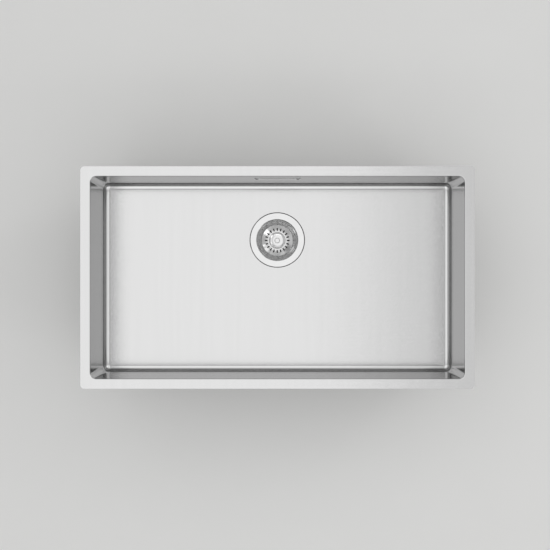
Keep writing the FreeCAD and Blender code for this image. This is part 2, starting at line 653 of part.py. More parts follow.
def make_basket():
    """Drawn strainer basket: lip, tapering side with small holes, sloping slotted bottom, dished middle."""
    body = drain_body("basket")
    lip_edge = "seat_top + lip_lift + (seat_width - lip_clearance) * lip_slope"
    lip_top = f"{lip_edge} + basket_sheet * 1.3"
    under = "basket_bottom - basket_sheet"
    ridge_top = "basket_bottom + ridge_height"
    ridge_inside = "ridge_radius - ridge_width"
    revolve(body, [
        ("lip_outside", lip_top),
        ("lip_inside", f"{lip_top} - lip_width * lip_slope", "basket_sheet * 2"),
        ("basket_floor_radius", "basket_bottom + bottom_rise", "basket_foot_radius"),
        ("ridge_radius + basket_sheet * 2", "basket_bottom", "basket_sheet * 2"),
        ("ridge_radius + basket_sheet", "basket_bottom"),
        ("ridge_radius", ridge_top, "basket_sheet"),
        (ridge_inside, ridge_top),
        ("dish_radius", "dish_top", "dish_bend"),
        ("neck_hole", "dish_top"),
        ("neck_hole", "seal_top"),
        ("dish_radius + basket_sheet / 2", "seal_top", "dish_bend + basket_sheet"),
        (f"{ridge_inside} - basket_sheet / 4", f"{ridge_top} - basket_sheet"),
        ("ridge_radius - basket_sheet", f"{ridge_top} - basket_sheet"),
        ("ridge_radius - basket_sheet / 4", under),
        ("ridge_radius + basket_sheet * 2.2", under, "basket_sheet * 3"),
        ("basket_floor_radius + basket_sheet * 0.9", "basket_bottom + bottom_rise - basket_sheet * 0.7",
         "basket_foot_radius + basket_sheet"),
        ("lip_inside + basket_sheet", f"{lip_edge} - (lip_width - basket_sheet) * lip_slope", "basket_sheet"),
        ("lip_outside", lip_edge),
    ])
    slot = outline(body, "XY_Plane",
                   rectangle("slot_length", "slot_width", "slot_width * 0.45", across="slot_radius"))
    repeat_round(body, pocket(body, slot), "strainer_slots", slot)
    hole = circles(body, "YZ_Plane", [("0", "seat_top - side_hole_depth", "side_hole_diameter / 2")])
    repeat_round(body, pocket(body, hole, reversed_side=True), "side_holes", hole, "V_Axis")


def make_stem_group():
    """Turned stem with its detent ring, the rubber seal, the seal's washer and the knob."""
    body = drain_body("basket_stem")
    groove = "stem_radius - ring_groove_depth"
    neck_top = "dish_top + knob_height - knob_head_height / 2"
    revolve(body, [
        ("0", neck_top),
        ("neck_radius", neck_top),
        ("neck_radius", "collar_top"),
        ("stem_collar_diameter / 2", "collar_top"),
        ("stem_collar_diameter / 2", "stem_top"),
        ("stem_radius", "stem_top"),
        ("stem_radius", "ring_top + ring_clearance"),
        (groove, "ring_top + ring_clearance"),
        (groove, "ring_bottom - ring_clearance"),
        ("stem_radius", "ring_bottom - ring_clearance"),
        ("stem_radius", "stem_end", "ring_groove_depth"),
        ("0", "stem_end"),
    ])
    make_ring("detent_ring", "ring_inside", "(screw_bore / 2 - ring_clearance)", "ring_top", "ring_height")

    body = drain_body("basket_seal")
    lip_bottom = "cup_bottom + seal_gap"
    lip_inside = "seal_radius - seal_lip_width"
    revolve(body, [
        ("neck_hole", "seal_top"),
        ("dish_radius - basket_sheet", "seal_top"),
        ("dish_radius - basket_sheet", "seal_top - seal_disc / 2"),
        ("seal_radius", "seal_top - seal_disc * 0.65"),
        ("seal_radius", lip_bottom, "seal_lip_width * 0.3"),
        (lip_inside, lip_bottom),
        (lip_inside, "washer_top"),
        ("neck_hole", "washer_top"),
    ])
    make_ring("seal_washer", "neck_hole", "washer_radius", "washer_top", "washer_thickness")

    body = drain_body("basket_knob")
    head_base = "dish_top + knob_height - knob_head_height"
    neck_end = "dish_top + knob_height - knob_head_height / 2 + thread_clearance"
    revolve(body, [
        ("0", "dish_top + knob_height"),
        ("knob_diameter / 2", "dish_top + knob_height", "knob_head_height * 0.4"),
        ("knob_diameter / 2", head_base, "knob_head_height * 0.3"),
        ("knob_waist / 2", head_base, "knob_head_height * 0.2"),
        ("knob_waist / 2", "dish_top"),
        ("neck_hole", "dish_top"),
        ("neck_hole", neck_end),
        ("0", neck_end),
    ])


def housing_corners(inset, side_inset):
    """Corners of the overflow housing's face, drawn in by inset, and at its sides by side_inset."""
    half = f"(housing_length / 2 - ({side_inset}))"
    foot = f"(housing_foot / 2 - ({inset}))"
    top, low = f"(-overflow_depth + housing_top - ({inset}))", f"(housing_low + ({inset}))"
    shoulder = "(-overflow_depth - housing_shoulder)"
    return [
        (f"-{half}", top, "housing_corner"), (f"-{half}", shoulder, "housing_corner"),
        (f"-{foot}", low, "housing_corner"), (foot, low, "housing_corner"),
        (half, shoulder, "housing_corner"), (half, top, "housing_corner"),
    ]


def make_overflow():
    """Slotted cover inside the bowl, gasket and slim moulded housing behind it, and two screws."""
    screw_land = "(housing_length / 2 - overflow_slot_length / 2 - housing_wall / 2)"
    body = new_body("overflow_cover")
    plate = rectangle("cover_length", "cover_height", "cover_corner", up="-overflow_depth")
    pad(body, outline(body, "XZ_Plane", plate, "-(bowl_width / 2 - cover_sheet)"), "cover_sheet",
        reversed_side=True)
    slot = rectangle("overflow_slot_length", "overflow_slot_height", "overflow_slot_height * 0.45",
                     up="-overflow_depth")
    pocket(body, outline(body, "XZ_Plane", slot))
    pocket(body, circles(body, "XZ_Plane", overflow_screw_discs("thread_clearance")))

    body = new_body("overflow_gasket")
    back = "-wall_back"
    pad(body, outline(body, "XZ_Plane", housing_corners("gasket_margin", "gasket_margin"), back),
        "overflow_gasket_thickness", reversed_side=True)
    pocket(body, outline(body, "XZ_Plane", housing_corners("housing_wall + gasket_margin", screw_land)))
    pocket(body, circles(body, "XZ_Plane", overflow_screw_discs("thread_clearance")))

    body = new_body("overflow_housing")
    front = "-housing_front"
    pad(body, outline(body, "XZ_Plane", housing_corners("0", "0"), front), "housing_depth",
        reversed_side=True)
    top = "-overflow_depth + housing_top"
    rear = "housing_front + housing_depth"
    back = number(rear)
    fillet(body, "housing_wall", lambda edge: abs(edge.BoundBox.YMin - back) < 1e-4)
    wedge = outline(body, "YZ_Plane", [
        ("housing_front + housing_top_depth", top),
        (rear, "housing_low + housing_wall"),
        (f"{rear} + housing_wall", "housing_low + housing_wall"),
        (f"{rear} + housing_wall", f"{top} + housing_wall"),
        ("housing_front + housing_top_depth", f"{top} + housing_wall"),
    ])
    feature(body, "Pocket", wedge, Type=1, Midplane=True)
    spigot = circles(body, "XY_Plane", [("0", "pipe_y", "spigot_outside")], "upper_mouth")
    pad(body, spigot, "spigot_length + housing_wall")
    cavity = housing_corners("housing_wall + gasket_margin", screw_land)
    pocket(body, outline(body, "XZ_Plane", cavity, front), "cavity_depth")
    bore = circles(body, "XY_Plane", [("0", "pipe_y", "spigot_bore")], "upper_mouth")
    pocket(body, bore, "spigot_length + housing_wall + housing_corner", reversed_side=True)
    pocket(body, circles(body, "XZ_Plane", overflow_screw_discs("thread_clearance"), front),
           "overflow_screw_length")

    body = new_body("overflow_screw")
    side = "overflow_screw_spacing / 2"
    head = circles(body, "XZ_Plane", [(side, "-overflow_depth", "overflow_screw_head / 2")],
                   "-(bowl_width / 2 - cover_sheet - overflow_screw_rise)")
    pad(body, head, "overflow_screw_rise", reversed_side=True)
    front = number("bowl_width / 2 - cover_sheet - overflow_screw_rise")
    fillet(body, "overflow_screw_rise * 0.5", lambda edge: abs(edge.BoundBox.YMax - front) < 1e-4)
    shank = circles(body, "XZ_Plane", [(side, "-overflow_depth", "overflow_screw_diameter / 2")],
                    "-(bowl_width / 2 - cover_sheet)")
    pad(body, shank, "overflow_screw_length", reversed_side=True)
    twin = doc.addObject("Part::Mirroring", "overflow_screw_twin")
    twin.Source = body
    twin.Normal = FreeCAD.Vector(1, 0, 0)
    pair = doc.addObject("Part::Compound", "overflow_screws")
    pair.Label = "overflow_screws"
    pair.Links = [body, twin]


def make_overflow_pipe():
    """Rigid bent pipe from the overflow housing down to the waste body."""
    body = new_body("overflow_pipe")
    upper_end = "(upper_mouth + pipe_insertion)"
    lower_axis = "(-bowl_depth - pipe_drop)"
    lower_end = "(drain_offset + lower_mouth - pipe_insertion)"
    path = new_sketch(body, "YZ_Plane", "0")
    add_outline(path, [
        ("pipe_y", upper_end), ("pipe_y", lower_axis, "pipe_bend"), (lower_end, lower_axis),
    ], closed=False)
    outside = circles(body, "XY_Plane", [("0", "pipe_y", "pipe_diameter / 2")], upper_end)
    doc.recompute()
    edges = [f"Edge{i + 1}" for i in range(len(path.Shape.Edges))]
    feature(body, "AdditivePipe", outside, Spine=(path, edges))
    inside = circles(body, "XY_Plane", [("0", "pipe_y", "pipe_diameter / 2 - pipe_wall")], upper_end)
    doc.recompute()
    feature(body, "SubtractivePipe", inside, Spine=(path, edges))


def make_union(prefix, y, z, tilt):
    """Union nut and seal of one end of the pipe. Their own z = 0 is the mouth of the spigot."""
    turn = FreeCAD.Rotation(FreeCAD.Vector(1, 0, 0), tilt)
    body = new_body(f"{prefix}_union_nut", y, z)
    body.Placement = FreeCAD.Placement(body.Placement.Base, turn)
    high = "(union_length - pipe_seal_length - union_cap)"
    low = "(-pipe_seal_length - union_cap)"
    hole = "pipe_diameter / 2 + pipe_clearance"
    skin = "(union_outside - union_rib)"
    revolve(body, [
        ("union_bore", high), (skin, high), (skin, low, "union_cap * 0.4"), (hole, low),
        (hole, "-pipe_seal_length"), ("union_bore", "-pipe_seal_length"),
    ])
    rib = outline(body, "XY_Plane",
                  rectangle("union_rib * 2", "union_rib * 3", "union_rib * 0.5", across=skin),
                  "-pipe_seal_length")
    grip = pad(body, rib, f"{high} + pipe_seal_length - union_rib")
    repeat_round(body, grip, "union_ribs", rib)

    body = new_body(f"{prefix}_pipe_seal", y, z)
    body.Placement = FreeCAD.Placement(body.Placement.Base, turn)
    grip_radius = "pipe_diameter / 2 + ring_clearance"
    revolve(body, [
        (grip_radius, "0"), ("spigot_outside", "0"), ("spigot_outside", "-pipe_seal_length"),
        (grip_radius, "-pipe_seal_length"),
    ])


make_bowl()
make_pads()
make_strainer_cup()
make_ring("flange_gasket", "(drain_hole_radius + gasket_margin)", "(flange_radius - gasket_margin)",
          "(flange_top - cup_sheet)", "(recess_depth - flush_drop - cup_sheet)")
make_ring("body_gasket", "(drain_hole_radius + gasket_margin)", "body_rim_radius", "recess_underside",
          "body_gasket_thickness")
make_waste_body()
make_outlet()
make_clamp()
make_basket()
make_stem_group()
make_overflow()
make_overflow_pipe()
make_union("upper", "pipe_y", "upper_mouth", 0)
make_union("lower", "drain_offset + lower_mouth", "-bowl_depth - pipe_drop", 90)
doc.recompute()

# Every feature has to be sound before the nodes are written, one file for each.
for item in doc.Objects:
    faults = {"Invalid", "Error"} & set(item.State)
    if faults:
        raise RuntimeError(f"{item.Label} did not build: {item.getStatusString()}")
singles = [item for item in doc.Objects if item.TypeId == "PartDesign::Body"]
nodes = [item for item in singles if item.Label != "overflow_screw"]
nodes.append(doc.getObject("overflow_screws"))
os.makedirs("parts", exist_ok=True)
for node in nodes:
    shape = node.Shape
    if shape.isNull() or not shape.isValid():
        raise RuntimeError(f"{node.Label} has no sound shape")
    shape.exportStep(f"parts/{node.Label}.step")
    box = shape.BoundBox
    print(node.Label, len(shape.Solids), round(shape.Volume),
          [round(v, 2) for v in (box.XMin, box.XMax, box.YMin, box.YMax, box.ZMin, box.ZMax)])
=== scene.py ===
"""Looks of a single-bowl stainless steel kitchen sink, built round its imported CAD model.

Metres, +Z up, +X to the right and +Y towards the rear wall. The origin is the centre of the bowl's
opening, in the plane of the rim's top face.
"""

import bmesh
import bpy
import numpy as np
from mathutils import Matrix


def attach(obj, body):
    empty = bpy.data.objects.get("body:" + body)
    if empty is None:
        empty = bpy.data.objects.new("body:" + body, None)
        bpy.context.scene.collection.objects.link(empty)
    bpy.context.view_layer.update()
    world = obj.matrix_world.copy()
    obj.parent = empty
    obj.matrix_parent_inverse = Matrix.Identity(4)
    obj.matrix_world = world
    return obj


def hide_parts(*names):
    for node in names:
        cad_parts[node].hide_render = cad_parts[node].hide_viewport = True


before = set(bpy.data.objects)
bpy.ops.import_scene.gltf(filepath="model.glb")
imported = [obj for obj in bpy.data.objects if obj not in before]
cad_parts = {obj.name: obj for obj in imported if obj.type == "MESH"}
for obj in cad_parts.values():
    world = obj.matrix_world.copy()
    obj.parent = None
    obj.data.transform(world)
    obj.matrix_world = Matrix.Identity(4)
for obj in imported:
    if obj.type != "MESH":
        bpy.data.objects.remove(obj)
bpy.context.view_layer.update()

# Bowl: one 1 mm sheet of stainless steel, drawn into a tub with a flat rim. A recess is pressed round
# the drain hole and a slot is cut high in the rear wall. The flats are brushed from front to rear.
# Here and below, the cells of a noise are counted per metre along each axis.
mm = 0.001
sheet = 1.0 * mm
bowl_half = np.array([370, 200]) * mm
wall_corner = 12 * mm
rim_width, rim_corner = 20 * mm, 8 * mm
rim_edge, rim_bend = sheet / 4, 2 * mm
floor_level, floor_bend = -200 * mm, 10 * mm
floor_edge = 24 * mm
press_line = 0.3 * mm
press_foot, press_foot_bend = 0.6 * mm, 0.5 * mm
press_head, press_head_bend = 1.7 * mm, 1.5 * mm
drain = np.array([0, 80]) * mm
drain_hole, drain_hole_edge = 45 * mm, sheet * 0.3
recess_level = -203 * mm
recess_foot, recess_foot_bend = 58.1 * mm, 0.5 * mm
recess_edge, recess_edge_bend = 59.0 * mm, 1.2 * mm
recess_apron = 3 * mm
recess_back_bend = 0.6 * mm
overflow_half = np.array([35, 4]) * mm
overflow_corner = 3.6 * mm
overflow_level = -55 * mm
punch_reach = 5 * mm
grain_top, grain_foot = -0.6 * mm, 3 * mm
scratch_cells, band_cells, cloud_cells = (120, 24000, 1), (3, 90, 1), (9, 9, 9)
scratch_lean, wall_lean = 0.4, 0.12
steel_grey = (0.66, 0.66, 0.66, 1)
edge_tint = (0.62, 0.62, 0.62, 1)
tear_cells = (2500, 2500, 400)
# Colours of punched faces: near black, which is painted shade in the holes, slots and cross recesses.
sheared_shade_dark, sheared_shade_pale = (0.05, 0.05, 0.05, 1), (0.13, 0.13, 0.13, 1)


def filleted(corners, step=np.radians(10), hold=0.15 * mm):
    """Section through corners (across, up, radius): an arc that touches both sides takes the place of
    each corner, with a point beside each end of it so that the straight sides shade as flat."""
    corners = np.array(corners, float)
    points = []
    for before, corner, after in zip(np.roll(corners, 1, 0), corners, np.roll(corners, -1, 0)):
        at, radius = corner[:2], corner[2]
        if radius == 0:
            points.append(at[None])
            continue
        back = (before[:2] - at) / np.linalg.norm(before[:2] - at)
        on = (after[:2] - at) / np.linalg.norm(after[:2] - at)
        half = np.arccos(np.clip(back @ on, -1, 1)) / 2
        reach = radius / np.tan(half)
        middle = (back + on) / np.linalg.norm(back + on)
        side = (on - back) / np.linalg.norm(on - back)
        count = 3 + int((np.pi - 2 * half) / step)
        swing = np.linspace(half - np.pi / 2, np.pi / 2 - half, count)[:, None]
        inwards = middle * np.cos(swing) - side * np.sin(swing)
        arc = at + middle * radius / np.sin(half) - radius * inwards
        points += [(at + back * (reach + hold))[None], arc, (at + on * (reach + hold))[None]]
    return np.concatenate(points)


def round_columns(half, corner, centre, step, corner_points=12, hold=0.6 * mm):
    """Columns round a rectangle with round corners, seen from a centre inside it: (sx, sy, ca, sa), with
    which a point is (sx (half x - r) + r ca, sy (half y - r) + r sa). The straight sides are divided
    evenly by angle from the centre, with a point beside each end, and the corners evenly by angle."""
    inner = half - corner
    columns = []
    for quarter in range(4):
        turn = np.array([[0, -1], [1, 0]]) if quarter % 2 else np.eye(2)
        sign = 1 if quarter in (0, 1) else -1
        out = sign * turn[:, 0]
        along = sign * turn[:, 1]
        far = np.abs(half @ out) - centre @ out
        end = np.abs(inner @ along)
        low = np.arctan((-end - centre @ along) / far)
        high = np.arctan((end - centre @ along) / far)
        count = int(np.ceil((high - low) / step))
        place = far * np.tan(np.linspace(low, high, count + 1)) + centre @ along
        beside = min(hold, end / 4)
        place = np.sort(np.r_[place, beside - end, end - beside])[1:-1]
        share = (place / end)[:, None]
        columns.append(np.c_[np.sign(out) + share * along, np.tile(out, (len(place), 1))])
        angle = np.linspace(0, np.pi / 2, corner_points)[:, None]
        arc = np.cos(angle) * out + np.sin(angle) * along
        columns.append(np.c_[np.tile(out + along, (corner_points, 1)), arc])
    return np.concatenate(columns)


def round_rectangle(columns, half, corner):
    """Points of rows of rounded rectangles: half sizes (rows, 2) and corner radii (rows)."""
    radius = np.asarray(corner)[:, None, None]
    return columns[None, :, :2] * (np.asarray(half)[:, None] - radius) + radius * columns[None, :, 2:]


def drawn_bowl(gathering=6):
    """Grid and grain map of the bowl. A section (inset, height) of the rim, wall and floor is carried
    round the bowl's rounded rectangle. Across the floor its rows gather into circles round the drain,
    where a second section (radius, height) makes the recess and the hole, and the underside goes back
    the same way. The grain map is the plan on the flats, and the length round the wall on the walls."""
    low = floor_level - press_line
    floor_back, recess_back = floor_level - sheet, recess_level - sheet
    tub = filleted([
        (-rim_width, -sheet, 0), (-rim_width, 0, rim_edge), (0, 0, rim_bend), (0, low, floor_bend),
        (floor_bend + press_foot, low, press_foot_bend),
        (floor_bend + press_head, floor_level, press_head_bend), (floor_edge, floor_level, 0),
    ], np.radians(6))
    mouth = filleted([
        (recess_edge + recess_apron, floor_level, 0), (recess_edge, floor_level, recess_edge_bend),
        (recess_foot, recess_level, recess_foot_bend), (drain_hole, recess_level, drain_hole_edge),
        (drain_hole, recess_back, drain_hole_edge), (recess_foot + sheet, recess_back, sheet),
        (recess_edge + sheet, floor_back, recess_back_bend),
        (recess_edge + recess_apron + sheet, floor_back, 0),
    ])
    skin = filleted([
        (floor_edge, floor_back, 0), (-sheet, floor_back, floor_bend + sheet),
        (-sheet, -sheet, rim_bend - sheet), (-rim_width, -sheet, 0),
    ])[:-1]
    spread = np.linspace(0, 1, gathering + 2)[1:-1]
    gather = np.r_[np.zeros(len(tub)), spread, np.ones(len(mouth)), spread[::-1], np.zeros(len(skin))]
    inset = np.r_[tub[:, 0], np.full(len(mouth) + 2 * gathering, floor_edge), skin[:, 0]]
    radius = np.r_[np.full(len(tub) + gathering, mouth[0, 0]), mouth[:, 0],
                   np.full(len(skin) + gathering, mouth[-1, 0])]
    height = np.r_[tub[:, 1], np.full(gathering, floor_level), mouth[:, 1],
                   np.full(gathering, floor_back), skin[:, 1]]
    columns = round_columns(bowl_half, wall_corner, drain, np.radians(2))
    corner = np.interp(inset, [-rim_width, -rim_bend, floor_bend],
                       [rim_corner, wall_corner + rim_bend, wall_corner - floor_bend])
    square = round_rectangle(columns, bowl_half - inset[:, None], corner)
    towards = square[len(tub) - 1] - drain
    ring = drain + radius[:, None, None] * towards / np.linalg.norm(towards, axis=1)[:, None]
    plan = square + gather[:, None, None] * (ring - square)
    grid = np.dstack([plan, np.broadcast_to(height[:, None], plan.shape[:2])])

    wall_line = round_rectangle(columns, bowl_half[None], [wall_corner])[0]
    run = np.r_[0, np.cumsum(np.linalg.norm(np.roll(wall_line, -1, 0) - wall_line, axis=1))]
    below = np.roll(np.arange(len(height)), -1)
    beside = np.roll(np.arange(len(columns)), -1)
    flat_map = np.stack([plan, plan[:, beside], plan[below][:, beside], plan[below]], 2)[..., ::-1]
    wall_map = np.zeros(flat_map.shape)
    wall_map[..., 0] = np.stack([run[:-1], run[1:], run[1:], run[:-1]], -1)
    wall_map[..., 1] = np.stack([height, height, height[below], height[below]], -1)[:, None]
    halfway = (height + height[below]) / 2
    upright = (halfway < grain_top) & (halfway > floor_level + grain_foot)
    return grid, np.where(upright[:, None, None, None], wall_map, flat_map)


def surface(name, grids, loop=True, uv=None, sharp=35):
    """Mesh of one or more grids of points (grid, row, column, xyz). Each point joins the next in its
    row, round to the first, and the same point of the next row, which after the last is the first if
    the rows loop. Rows drawn to a point are merged, and the faces are turned outwards by the sign of
    the volume they close."""
    grids = np.asarray(grids, float)
    grids = grids[None] if grids.ndim == 3 else grids
    count, rows, columns = grids.shape[:3]
    index = np.arange(count * rows * columns).reshape(count, rows, columns)
    right = np.roll(index, -1, 2)
    if loop:
        quads = np.stack([index, right, np.roll(right, -1, 1), np.roll(index, -1, 1)], -1)
    else:
        quads = np.stack([index[:, :-1], right[:, :-1], right[:, 1:], index[:, 1:]], -1)
    points = grids.reshape(-1, 3)
    corners = points[quads.reshape(-1, 4)]
    volume = np.einsum("ij,ij", corners[:, 0] - points[0],
                       np.cross(corners[:, 1] - corners[:, 3], corners[:, 2] - corners[:, 0]))
    order = [0, 1, 2, 3] if volume > 0 else [3, 2, 1, 0]
    mesh = bpy.data.meshes.new(name)
    mesh.from_pydata(points, [], quads.reshape(-1, 4)[:, order].tolist())
    if uv is not None:
        layer = mesh.uv_layers.new(name="grain")
        layer.data.foreach_set("uv", uv.reshape(-1, 4, 2)[:, order].astype(np.float32).ravel())
    shell = bmesh.new()
    shell.from_mesh(mesh)
    bmesh.ops.remove_doubles(shell, verts=shell.verts, dist=1e-7)
    shell.to_mesh(mesh)
    shell.free()
    mesh.shade_smooth()
    mesh.set_sharp_from_angle(angle=np.radians(sharp))
    piece = bpy.data.objects.new(name, mesh)
    bpy.context.scene.collection.objects.link(piece)
    return piece


def cut(piece, grids, edge, sharp=35):
    """Takes the volume of one or more closed grids out of a piece, and gives the new faces a finish."""
    cutter = surface("cutter", grids, loop=False)
    cutter.data.materials.append(edge)
    knife = piece.modifiers.new("cut", "BOOLEAN")
    knife.object = cutter
    knife.solver = "EXACT"
    knife.material_mode = "TRANSFER"
    graph = bpy.context.evaluated_depsgraph_get()
    piece.data = bpy.data.meshes.new_from_object(piece.evaluated_get(graph))
    piece.data.name = piece.name
    piece.data.set_sharp_from_angle(angle=np.radians(sharp))
    piece.modifiers.clear()
    bpy.data.objects.remove(cutter)


def prism(half, corner, low, high):
    """Upright block with a rounded rectangle for its outline, closed at both ends by a point."""
    columns = round_columns(half, corner, np.zeros(2), np.radians(30))
    outline = round_rectangle(columns, half[None], [corner])[0]
    level = np.array([low, low, high, high])[:, None, None] * np.ones((1, len(outline), 1))
    return np.dstack([np.array([0, 1, 1, 0])[:, None, None] * outline, level])


def faced_rear(grid):
    """Turns a grid so that its own z runs towards the rear wall, at the level of the overflow."""
    return np.stack([grid[..., 0], grid[..., 2], grid[..., 1] + overflow_level], -1)


class Value:
    """One output of a shader node. Sums of values, or of a value and a number, add Math nodes."""

    def __init__(self, tree, output):
        self.tree = tree
        self.output = output

    @classmethod
    def node(cls, tree, kind, settings=None, inputs=None, output=0):
        """Adds a node of a type, makes its settings, then gives its sockets their values or links."""
        made = tree.nodes.new("ShaderNode" + kind)
        for name, setting in (settings or {}).items():
            setattr(made, name, setting)
        for name, value in (inputs or {}).items():
            if isinstance(value, Value):
                tree.links.new(value.output, made.inputs[name])
            else:
                made.inputs[name].default_value = value
        return cls(tree, made.outputs[output])

    def math(self, operation, *terms):
        return self.node(self.tree, "Math", {"operation": operation}, dict(enumerate(terms)))

    def __add__(self, other):
        return self.math("ADD", self, other)

    def __sub__(self, other):
        return self.math("SUBTRACT", self, other)

    def __rsub__(self, other):
        return self.math("SUBTRACT", other, self)

    def __mul__(self, other):
        return self.math("MULTIPLY", self, other)

    __radd__ = __add__
    __rmul__ = __mul__


def finish(name, constants):
    """New material: it, its node tree, and its main shader with what stays the same all over set."""
    material = bpy.data.materials.new(name)
    material.use_nodes = True
    shader = material.node_tree.nodes["Principled BSDF"]
    for socket, value in constants.items():
        shader.inputs[socket].default_value = value
    return material, material.node_tree, shader


def feed(shader, socket, value):
    """Links a value that changes over the surface to one of the main shader's sockets."""
    value.tree.links.new(value.output, shader.inputs[socket])


def coordinates(tree, output, scale, shift=(0, 0, 0)):
    """A place on the piece, from its Object or UV coordinates, stretched by scale along each axis."""
    place = Value.node(tree, "TexCoord", output=output)
    return Value.node(tree, "Mapping", inputs={"Vector": place, "Scale": scale, "Location": shift})


def noise(tree, place, detail=2.0, rough=0.5):
    """Grey noise from 0 to 1, with cells of one unit of the place it reads."""
    return Value.node(tree, "TexNoise", inputs={"Vector": place, "Scale": 1.0, "Detail": detail,
                                                "Roughness": rough})


def bumped(tree, height, strength, distance):
    """Normal of a surface that rises with a height from 0 to 1 over a distance in metres."""
    return Value.node(tree, "Bump", inputs={"Height": height, "Strength": strength,
                                            "Distance": distance})


def tinted(tree, amount, low, high):
    """Colour between two, by an amount from 0 to 1."""
    return Value.node(tree, "Mix", {"data_type": "RGBA"}, {"Factor": amount, 6: low, 7: high}, 2)


def shade(colour, factor):
    """A colour made lighter or darker."""
    return tuple(channel * factor for channel in colour[:3]) + (1,)


def brushed_steel():
    """Satin sheet, brushed along u of the grain map: fine scratches whose sides lean across them, to
    left and right on the flats and upwards on the walls, which spreads reflections, and wider bands.
    The lean of a side is its scratch's noise times a share of how far the surface faces up or out."""
    material, tree, shader = finish("brushed_steel", {"Metallic": 1.0, "Specular Tint": edge_tint})
    fine = noise(tree, coordinates(tree, "UV", scratch_cells))
    band = noise(tree, coordinates(tree, "UV", band_cells))
    cloud = noise(tree, coordinates(tree, "Object", cloud_cells))
    streak = fine * 0.6 + band * 0.4
    feed(shader, "Base Color", tinted(tree, streak, shade(steel_grey, 0.95), shade(steel_grey, 1.05)))
    feed(shader, "Roughness", streak * 0.05 + cloud * 0.03 + 0.07)
    facing = Value.node(tree, "NewGeometry", output="Normal")
    up = Value.node(tree, "SeparateXYZ", inputs={0: facing}, output=2)
    lean = Value.node(tree, "CombineXYZ", inputs={"X": (fine - 0.5) * up * up * up * scratch_lean,
                                                  "Z": fine * (1 - up * up) * wall_lean})
    leaning = Value.node(tree, "VectorMath", {"operation": "ADD"}, {0: facing, 1: lean})
    feed(shader, "Normal", Value.node(tree, "VectorMath", {"operation": "NORMALIZE"}, {0: leaning}))
    return material


def sheared_edge_and_shade():
    """Dull face that a punch leaves through steel, with fine tear marks down it; its near black is
    painted shade.
    """
    material, tree, shader = finish("sheared_edge_and_shade", {"Metallic": 1.0})
    tear = noise(tree, coordinates(tree, "Object", tear_cells))
    feed(shader, "Base Color", tinted(tree, tear, sheared_shade_dark, sheared_shade_pale))
    feed(shader, "Roughness", tear * 0.2 + 0.5)
    return material


def fit(piece, material, body, node):
    """Gives a new piece its finish, the body it moves with, and the CAD node it stands for."""
    piece.data.materials.append(material)
    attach(piece, body)
    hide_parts(node)


bowl_grid, grain_map = drawn_bowl()
bowl = surface("bowl_sheet", bowl_grid, uv=grain_map)
fit(bowl, brushed_steel(), "sink", "bowl")
# The faces that the cuts below leave take this near-black finish: painted shade inside the slots and
# holes.
punched_shade = sheared_edge_and_shade()
punch_from, punch_to = bowl_half[1] - punch_reach, bowl_half[1] + sheet + punch_reach
cut(bowl, faced_rear(prism(overflow_half, overflow_corner, punch_from, punch_to)), punched_shade)

# Sound pads: dark rubber sheets stuck to the bowl's underside and to three of its walls, die-cut with
# round corners. The rubber has a fine pebbled face.
pad_names = ["floor_pad_left", "floor_pad_right", "wall_pad_left", "wall_pad_right", "wall_pad_front"]
pad_grey, pad_pebble = (0.075, 0.075, 0.08, 1), 2.2 * mm
dust_cells = (30, 30, 30)


def pebbled_rubber(name, colour, grain):
    """Matt rubber: a pebbled face with worn, paler high spots. The grain is a pebble's size."""
    material, tree, shader = finish(name, {"Specular IOR Level": 0.35})
    place = coordinates(tree, "Object", (1 / grain,) * 3)
    pebble = Value.node(tree, "TexVoronoi", {"feature": "SMOOTH_F1"}, {"Vector": place, "Scale": 1.0})
    dust = noise(tree, coordinates(tree, "Object", dust_cells), 4.0, 0.6)
    worn = dust * 0.8 + pebble * 0.2
    feed(shader, "Base Color", tinted(tree, worn, shade(colour, 0.8), shade(colour, 1.3)))
    feed(shader, "Roughness", dust * 0.2 + 0.66)
    feed(shader, "Normal", bumped(tree, 1 - pebble, 0.5, 0.25 * grain))
    return material


def dress(names, material):
    """Gives CAD nodes their finish."""
    for name in names:
        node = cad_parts[name]
        node.data.materials.clear()
        node.data.materials.append(material)


dress(pad_names, pebbled_rubber("deadening_rubber", pad_grey, pad_pebble))

# Strainer cup: drawn from one disc of steel and polished, with a flange that lies in the bowl's
# recess, a ledge for the basket and a slotted bottom. A clamp screw pulls it down on the bowl.
# Heights round the drain are from the bowl's floor.
flange_radius, flange_top, flange_edge = 57.5 * mm, -0.5 * mm, 0.4 * mm
cup_radius, cup_mouth_bend = 43.5 * mm, 2.5 * mm
seat_top, seat_foot_bend = -8.5 * mm, 0.5 * mm
seat_inside, seat_edge_bend = 41.5 * mm, 0.8 * mm
cup_foot, cup_bottom, cup_foot_bend = 34 * mm, -50.5 * mm, 4 * mm
screw_hole = 6.1 * mm
cup_slots, cup_slot_middle = 6, 14.5 * mm
cup_slot_half, cup_slot_corner = np.array([4, 3]) * mm, 2.7 * mm
cup_slot_low, cup_slot_high = -53.5 * mm, -47.5 * mm
ring_cells, smear_cells = 900, (45, 45, 45)
bright_grey = (0.73, 0.73, 0.73, 1)


def folded(corners, thickness, step=np.radians(10)):
    """Closed section of a bent sheet: the corners (across, up, radius) of its upper side, and back along
    the same line set off to its left by the thickness, where a bend to the left is tighter by it and
    a bend to the right is wider."""
    corners = np.array(corners, float)
    along = np.diff(corners[:, :2], axis=0)
    along /= np.linalg.norm(along, axis=1)[:, None]
    side = np.stack([-along[:, 1], along[:, 0]], -1)
    before, after = np.concatenate([side[:1], side]), np.concatenate([side, side[-1:]])
    offset = thickness * (before + after) / (1 + np.sum(before * after, 1))[:, None]
    bend = np.sign(before[:, 0] * after[:, 1] - before[:, 1] * after[:, 0])
    radius = np.where(corners[:, 2] > 0, np.maximum(corners[:, 2] - bend * thickness, thickness / 4), 0)
    back = np.c_[corners[:, :2] + offset, radius]
    return filleted(np.concatenate([corners, back[::-1]]), step, 0.1 * mm)


